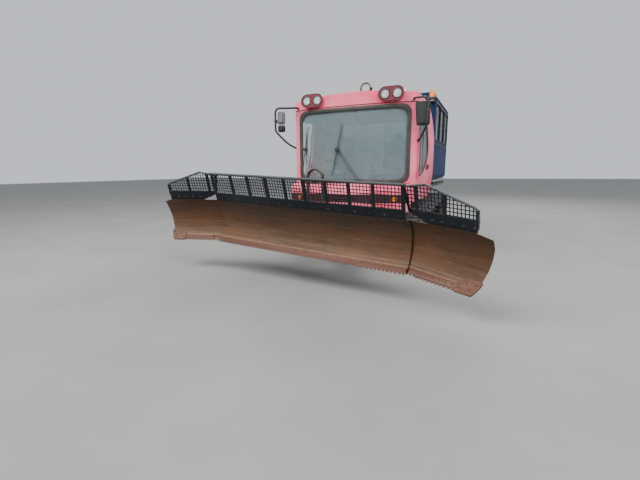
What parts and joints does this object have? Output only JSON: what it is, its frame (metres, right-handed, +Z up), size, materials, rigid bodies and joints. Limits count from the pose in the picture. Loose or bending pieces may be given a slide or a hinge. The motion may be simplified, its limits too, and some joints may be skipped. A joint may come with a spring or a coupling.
{
  "type": "snowcat groomer",
  "caption": "Tracked snow groomer with a tiltable front blade with folding wings, a driver's cab with hinged doors and a passenger cabin behind it.",
  "frame": {"origin": "on the floor, under the middle of the whole vehicle's box", "axes": "the vehicle faces -Y, its left side is +X, +Z is up"},
  "size_m": [4.7701, 7.3811, 3.0923],
  "materials": {
    "body_red": "faded semi-gloss paint",
    "band_red": "faded dark paint",
    "cabin_blue": "semi-gloss paint",
    "frame_dark": "matt paint with dirt",
    "blade_rust": "worn steel with rust",
    "guard_black": "matt black paint",
    "cylinder_steel": "dull steel",
    "engine_grey": "dull cast metal",
    "track_rubber": "worn rubber",
    "wheel_rubber": "worn rubber",
    "lamp_shell": "dull",
    "lens_clear": "clear lens",
    "lens_amber": "amber lens",
    "lens_red": "red lens",
    "window_glass": "clear",
    "trim_black": "matt",
    "seat_fabric": "worn cloth"
  },
  "bodies": {
    "vehicle": {"chassis_frame": "frame_dark", "engine_block": "engine_grey", "axles": "frame_dark", "road_wheels": "wheel_rubber", "drive_sprockets": "frame_dark", "track_left": "track_rubber", "track_right": "track_rubber", "rear_hitch": "frame_dark", "rear_deck": "frame_dark", "cab_body": "body_red", "cab_roof": "body_red", "cab_nose": "body_red", "nose_grille": "band_red", "cab_glass": "window_glass", "seats": "seat_fabric", "dashboard": "trim_black", "roof_lamps": "lamp_shell", "lamp_lenses": "lens_clear", "amber_lamps": "lens_amber", "tail_lamps": "lens_red", "mirrors": "trim_black", "wipers": "trim_black", "cabin_body": "cabin_blue", "cabin_glass": "window_glass", "cabin_sills": "lamp_shell"},
    "door_left": {"door_left": "body_red", "door_left_glass": "window_glass"},
    "door_right": {"door_right": "body_red", "door_right_glass": "window_glass"},
    "cabin_door": {"cabin_door": "cabin_blue", "cabin_door_glass": "window_glass"},
    "push_frame": {"push_frame": "frame_dark", "blade_hoses": "trim_black"},
    "swivel": {"swivel_frame": "frame_dark"},
    "tilt": {"tilt_frame": "frame_dark"},
    "blade": {"blade_centre": "blade_rust", "centre_guard": "guard_black"},
    "wing_left": {"wing_left": "blade_rust", "guard_left": "guard_black"},
    "wing_right": {"wing_right": "blade_rust", "guard_right": "guard_black"},
    "lift_barrels": {"lift_barrels": "frame_dark"},
    "lift_rods": {"lift_rods": "cylinder_steel"},
    "angle_barrel_left": {"angle_barrel_left": "frame_dark"},
    "angle_rod_left": {"angle_rod_left": "cylinder_steel"},
    "angle_barrel_right": {"angle_barrel_right": "frame_dark"},
    "angle_rod_right": {"angle_rod_right": "cylinder_steel"},
    "tilt_barrel": {"tilt_barrel": "frame_dark"},
    "tilt_rod": {"tilt_rod": "cylinder_steel"},
    "pitch_barrel": {"pitch_barrel": "frame_dark"},
    "pitch_rod": {"pitch_rod": "cylinder_steel"},
    "wing_barrel_left": {"wing_barrel_left": "frame_dark"},
    "wing_rod_left": {"wing_rod_left": "cylinder_steel"},
    "wing_barrel_right": {"wing_barrel_right": "frame_dark"},
    "wing_rod_right": {"wing_rod_right": "cylinder_steel"}
  },
  "joints": [
    {"name": "blade_lift", "type": "hinge", "parent": "vehicle", "child": "push_frame", "pos_m": [0.0772, -1.1685, 0.56], "axis": [-1, 0, 0], "range_deg": [-16, 22]},
    {"name": "blade_angle", "type": "hinge", "parent": "push_frame", "child": "swivel", "pos_m": [0.0772, -2.4185, 0.56], "axis": [0, 0, 1], "range_deg": [-19, 31]},
    {"name": "blade_tilt", "type": "hinge", "parent": "swivel", "child": "tilt", "pos_m": [0.0772, -2.4185, 0.56], "axis": [0.1045, 0.9945, 0], "range_deg": [-10.4, 5.6]},
    {"name": "blade_pitch", "type": "hinge", "parent": "tilt", "child": "blade", "pos_m": [0.02975, -2.84588, 0.50005], "axis": [0.9936, -0.1044, -0.0419], "range_deg": [-10, 10]},
    {"name": "wing_fold_left", "type": "hinge", "parent": "blade", "child": "wing_left", "pos_m": [1.56339, -3.10205, 0.65887], "axis": [-0.0314, 0.1002, -0.9945], "range_deg": [-19, 26]},
    {"name": "wing_fold_right", "type": "hinge", "parent": "blade", "child": "wing_right", "pos_m": [-1.505, -2.77955, 0.78819], "axis": [0.0314, -0.1002, 0.9945], "range_deg": [-19, 26]},
    {"name": "door_left_hinge", "type": "hinge", "parent": "vehicle", "child": "door_left", "pos_m": [1.1982, -1.0715, 1.9], "axis": [0, 0, -1], "range_deg": [0, 70]},
    {"name": "door_right_hinge", "type": "hinge", "parent": "vehicle", "child": "door_right", "pos_m": [-1.0438, -1.0715, 1.9], "axis": [0, 0, 1], "range_deg": [0, 70]},
    {"name": "cabin_door_hinge", "type": "hinge", "parent": "vehicle", "child": "cabin_door", "pos_m": [0.4802, 2.9775, 2.1], "axis": [0, 0, -1], "range_deg": [0, 100]},
    {"name": "lift_barrels_pivot", "type": "hinge", "parent": "vehicle", "child": "lift_barrels", "pos_m": [0.0772, -1.2185, 0.8], "axis": [-1, 0, 0], "range_deg": [-17.07, 23.29]},
    {"name": "lift_rods_slide", "type": "slide", "parent": "lift_barrels", "child": "lift_rods", "axis": [0, -0.9882, -0.1531], "range_m": [-0.09355, 0.06885]},
    {"name": "angle_barrel_left_pivot", "type": "hinge", "parent": "push_frame", "child": "angle_barrel_left", "pos_m": [0.5072, -1.6185, 0.56], "axis": [0, 0, 1], "range_deg": [-0.63, 0.58]},
    {"name": "angle_rod_left_slide", "type": "slide", "parent": "angle_barrel_left", "child": "angle_rod_left", "axis": [-0.2725, -0.9622, 0], "range_m": [-0.10561, 0.06589]},
    {"name": "angle_barrel_right_pivot", "type": "hinge", "parent": "push_frame", "child": "angle_barrel_right", "pos_m": [-0.3528, -1.6185, 0.56], "axis": [0, 0, 1], "range_deg": [-0.63, 0.58]},
    {"name": "angle_rod_right_slide", "type": "slide", "parent": "angle_barrel_right", "child": "angle_rod_right", "axis": [0.2733, -0.9619, 0], "range_m": [-0.06665, 0.10685]},
    {"name": "tilt_barrel_pivot", "type": "hinge", "parent": "swivel", "child": "tilt_barrel", "pos_m": [-0.26195, -2.58396, 0.73], "axis": [0.1045, 0.9945, 0], "range_deg": [-3.16, 1.93]},
    {"name": "tilt_rod_slide", "type": "slide", "parent": "tilt_barrel", "child": "tilt_rod", "axis": [0.9945, -0.1045, -0.0109], "range_m": [-0.03386, 0.01961]},
    {"name": "pitch_barrel_pivot", "type": "hinge", "parent": "tilt", "child": "pitch_barrel", "pos_m": [0.07569, -2.54906, 0.84975], "axis": [0.9936, -0.1044, -0.0419], "range_deg": [-5.71, 5.71]},
    {"name": "pitch_rod_slide", "type": "slide", "parent": "pitch_barrel", "child": "pitch_rod", "axis": [-0.0864, -0.9467, 0.3103], "range_m": [-0.07727, 0.07727]},
    {"name": "wing_barrel_left_pivot", "type": "hinge", "parent": "blade", "child": "wing_barrel_left", "pos_m": [1.02349, -2.90954, 0.74055], "axis": [-0.0314, 0.1002, -0.9945], "range_deg": [-5.21, 6.94]},
    {"name": "wing_rod_left_slide", "type": "slide", "parent": "wing_barrel_left", "child": "wing_rod_left", "axis": [0.9977, -0.0561, -0.0371], "range_m": [-0.05554, 0.07489]},
    {"name": "wing_barrel_right_pivot", "type": "hinge", "parent": "blade", "child": "wing_barrel_right", "pos_m": [-0.93202, -2.70401, 0.82296], "axis": [0.0314, -0.1002, 0.9945], "range_deg": [-5.21, 6.94]},
    {"name": "wing_rod_right_slide", "type": "slide", "parent": "wing_barrel_right", "child": "wing_rod_right", "axis": [-0.9872, 0.1526, 0.0465], "range_m": [-0.05554, 0.07489]}
  ],
  "couplings": [
    {"joint": "lift_barrels_pivot", "follows": "blade_lift", "ratio": 1.0357},
    {"joint": "lift_rods_slide", "follows": "blade_lift", "m_per_rad": -0.23581},
    {"joint": "angle_barrel_left_pivot", "follows": "blade_angle", "ratio": -0.004121},
    {"joint": "angle_rod_left_slide", "follows": "blade_angle", "m_per_rad": -0.18965},
    {"joint": "angle_barrel_right_pivot", "follows": "blade_angle", "ratio": -0.0042},
    {"joint": "angle_rod_right_slide", "follows": "blade_angle", "m_per_rad": 0.19194},
    {"joint": "tilt_barrel_pivot", "follows": "blade_tilt", "ratio": 0.25596},
    {"joint": "tilt_rod_slide", "follows": "blade_tilt", "m_per_rad": 0.16999},
    {"joint": "pitch_barrel_pivot", "follows": "blade_pitch", "ratio": 0.52051},
    {"joint": "pitch_rod_slide", "follows": "blade_pitch", "m_per_rad": 0.42553},
    {"joint": "wing_barrel_left_pivot", "follows": "wing_fold_left", "ratio": 0.24767},
    {"joint": "wing_rod_left_slide", "follows": "wing_fold_left", "m_per_rad": 0.15843},
    {"joint": "wing_barrel_right_pivot", "follows": "wing_fold_right", "ratio": 0.24767},
    {"joint": "wing_rod_right_slide", "follows": "wing_fold_right", "m_per_rad": 0.15843}
  ]
}
